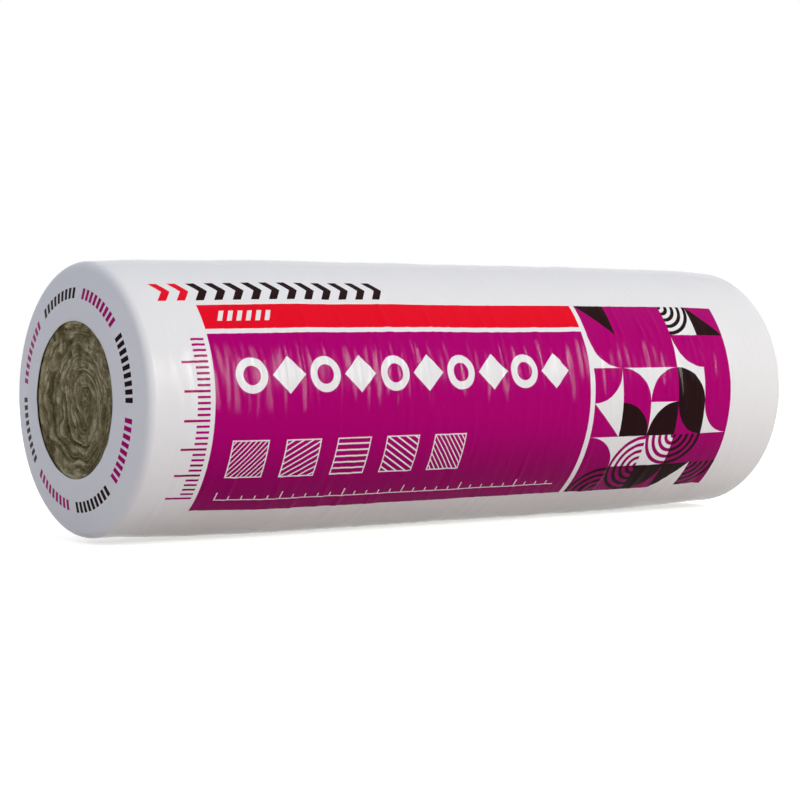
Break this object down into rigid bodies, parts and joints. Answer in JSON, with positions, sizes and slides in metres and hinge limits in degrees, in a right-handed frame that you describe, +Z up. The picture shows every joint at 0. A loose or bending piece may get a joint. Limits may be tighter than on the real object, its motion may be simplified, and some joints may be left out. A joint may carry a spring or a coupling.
{
  "type": "insulation roll",
  "caption": "Roll of mineral wool wound up from a mat and held in a shrunk printed film sleeve that is open at both ends; thermal insulation for walls, floors and roofs.",
  "frame": {"origin": "on the floor, under the middle of the roll", "axes": "+X along the roll's axis towards the end that the picture doesn't show, +Y away from the printed front, +Z up"},
  "size_m": [1.2, 0.396, 0.3958],
  "materials": {
    "film": "satin",
    "wool": "matte"
  },
  "bodies": {
    "root": {"film_sleeve": "film", "wool_roll": "wool"}
  },
  "joints": []
}
